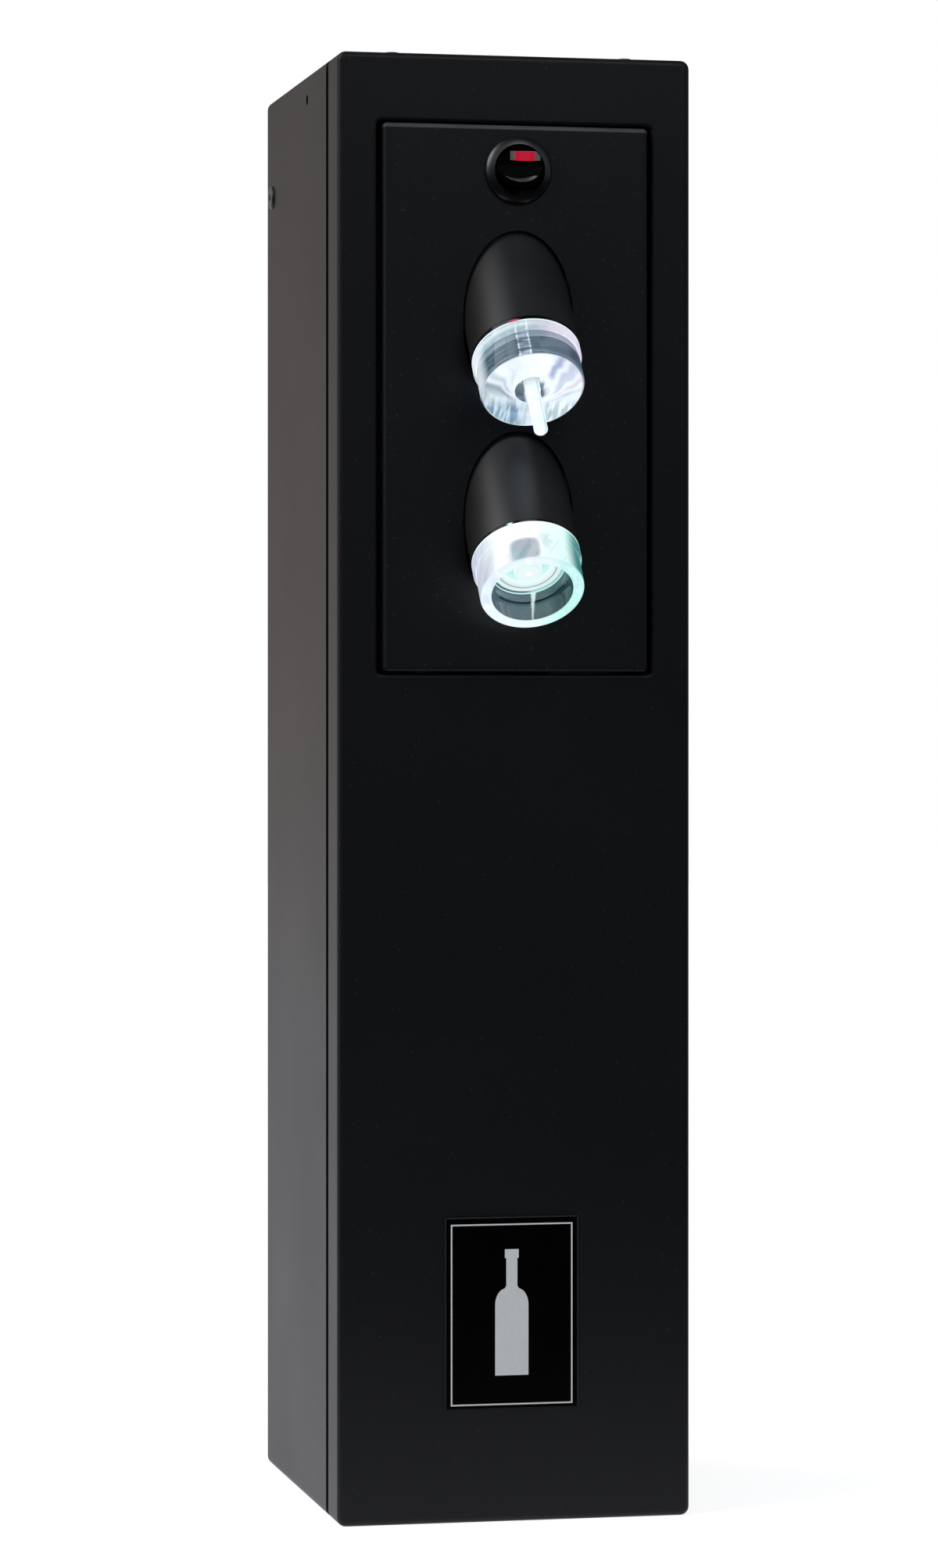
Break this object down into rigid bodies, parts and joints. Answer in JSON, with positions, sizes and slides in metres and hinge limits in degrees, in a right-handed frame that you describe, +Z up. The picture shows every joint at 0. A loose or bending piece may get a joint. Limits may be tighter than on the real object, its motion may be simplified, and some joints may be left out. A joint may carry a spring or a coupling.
{
  "type": "wine preservation dispenser",
  "caption": "Upright black steel bar-top column with slanted, sprung cylindrical bottle heads, a clear lit end on each, and a rocker power switch.",
  "frame": {"origin": "centre of the base, on the surface the column stands on", "axes": "+Z up, -Y towards the user (the side with the heads), +X to the user's right"},
  "size_m": [0.1226, 0.1802, 0.4912],
  "materials": {
    "powder_coat": "fine-textured satin black powder coat",
    "black_metal": "satin black",
    "zinc_steel": "zinc-plated",
    "clear_acrylic": "clear acrylic, lit from inside",
    "cup_acrylic": "clear acrylic, lit from inside",
    "nozzle_acrylic": "polished",
    "nozzle_plastic": "polished",
    "seal_rubber": "matt",
    "core_brass": "turned",
    "bush_plastic": "turned",
    "spring_steel": "drawn",
    "led_board": "white solder mask",
    "switch_black": "moulded, glossy",
    "rocker_black": "moulded, satin",
    "rocker_red": "clear red, lit",
    "inner_plastic": "moulded",
    "plunger_red": "moulded",
    "circuit_board": "green solder mask",
    "valve_brass": "machined",
    "hose": "flexible",
    "badge": "printed dark foil"
  },
  "bodies": {
    "column": {"badge_plate": "badge", "base_plate": "zinc_steel", "board_components": "inner_plastic", "board_standoffs": "valve_brass", "casing_screws": "black_metal", "chassis_screws": "zinc_steel", "control_board": "circuit_board", "cover_frame": "powder_coat", "cover_screws": "black_metal", "foot_screws": "zinc_steel", "front_cover": "powder_coat", "gas_coil": "inner_plastic", "gas_supply_hose": "hose", "gas_valve": "valve_brass", "head_chassis": "zinc_steel", "head_plate": "powder_coat", "hose_grommet": "seal_rubber", "hose_unions": "core_brass", "power_inlet": "inner_plastic", "rear_casing": "powder_coat", "rocker_pin": "spring_steel", "service_shelf": "zinc_steel", "sparkling_core": "core_brass", "sparkling_core_nuts": "core_brass", "sparkling_elbow": "core_brass", "sparkling_hose": "hose", "sparkling_led_board": "led_board", "sparkling_microswitch": "inner_plastic", "sparkling_nozzle": "nozzle_plastic", "sparkling_spring": "spring_steel", "spine": "zinc_steel", "still_core": "core_brass", "still_core_nuts": "core_brass", "still_elbow": "core_brass", "still_hose": "hose", "still_led_board": "led_board", "still_microswitch": "inner_plastic", "still_nozzle": "nozzle_acrylic", "still_spring": "spring_steel", "stud_nuts": "zinc_steel", "switch_housing": "switch_black", "switch_terminals": "spring_steel", "vacuum_coil": "inner_plastic", "vacuum_supply_hose": "hose", "vacuum_valve": "valve_brass"},
    "still_sleeve": {"still_barrel": "black_metal", "still_lens": "clear_acrylic", "still_bushes": "bush_plastic", "still_seal": "seal_rubber"},
    "still_lever": {"still_switch_lever": "spring_steel"},
    "still_plunger": {"still_switch_plunger": "plunger_red"},
    "sparkling_sleeve": {"sparkling_barrel": "black_metal", "sparkling_cup": "cup_acrylic", "sparkling_bushes": "bush_plastic", "sparkling_seal": "seal_rubber"},
    "sparkling_lever": {"sparkling_switch_lever": "spring_steel"},
    "sparkling_plunger": {"sparkling_switch_plunger": "plunger_red"},
    "power_rocker": {"rocker": "rocker_black", "rocker_lens": "rocker_red"}
  },
  "joints": [
    {"name": "still_head_slide", "type": "slide", "parent": "column", "child": "still_sleeve", "axis": [0, 0.6626, 0.749], "range_m": [0, 0.0032], "stiffness_N_per_m": 900, "springref_m": -0.012, "deforming": ["still_spring"]},
    {"name": "still_lever_hinge", "type": "hinge", "parent": "column", "child": "still_lever", "pos_m": [-0.0074, -0.04057, 0.41827], "axis": [0, -0.749, 0.6626], "range_deg": [0, 11]},
    {"name": "still_plunger_slide", "type": "slide", "parent": "column", "child": "still_plunger", "axis": [0, 0.6626, 0.749], "range_m": [0, 0.00096]},
    {"name": "sparkling_head_slide", "type": "slide", "parent": "column", "child": "sparkling_sleeve", "axis": [0, 0.6626, 0.749], "range_m": [0, 0.0032], "stiffness_N_per_m": 900, "springref_m": -0.012, "deforming": ["sparkling_spring"]},
    {"name": "sparkling_lever_hinge", "type": "hinge", "parent": "column", "child": "sparkling_lever", "pos_m": [-0.0074, -0.04057, 0.35127], "axis": [0, -0.749, 0.6626], "range_deg": [0, 11]},
    {"name": "sparkling_plunger_slide", "type": "slide", "parent": "column", "child": "sparkling_plunger", "axis": [0, 0.6626, 0.749], "range_m": [0, 0.00096]},
    {"name": "power_rocker_hinge", "type": "hinge", "parent": "column", "child": "power_rocker", "pos_m": [0.0006, -0.0696, 0.4513], "axis": [1, 0, 0], "range_deg": [0, 25.8]}
  ],
  "couplings": [
    {"joint": "still_lever_hinge", "follows": "still_head_slide", "rad_per_m": 59.668},
    {"joint": "still_plunger_slide", "follows": "still_head_slide", "ratio": 0.29688},
    {"joint": "sparkling_lever_hinge", "follows": "sparkling_head_slide", "rad_per_m": 59.668},
    {"joint": "sparkling_plunger_slide", "follows": "sparkling_head_slide", "ratio": 0.29688}
  ]
}
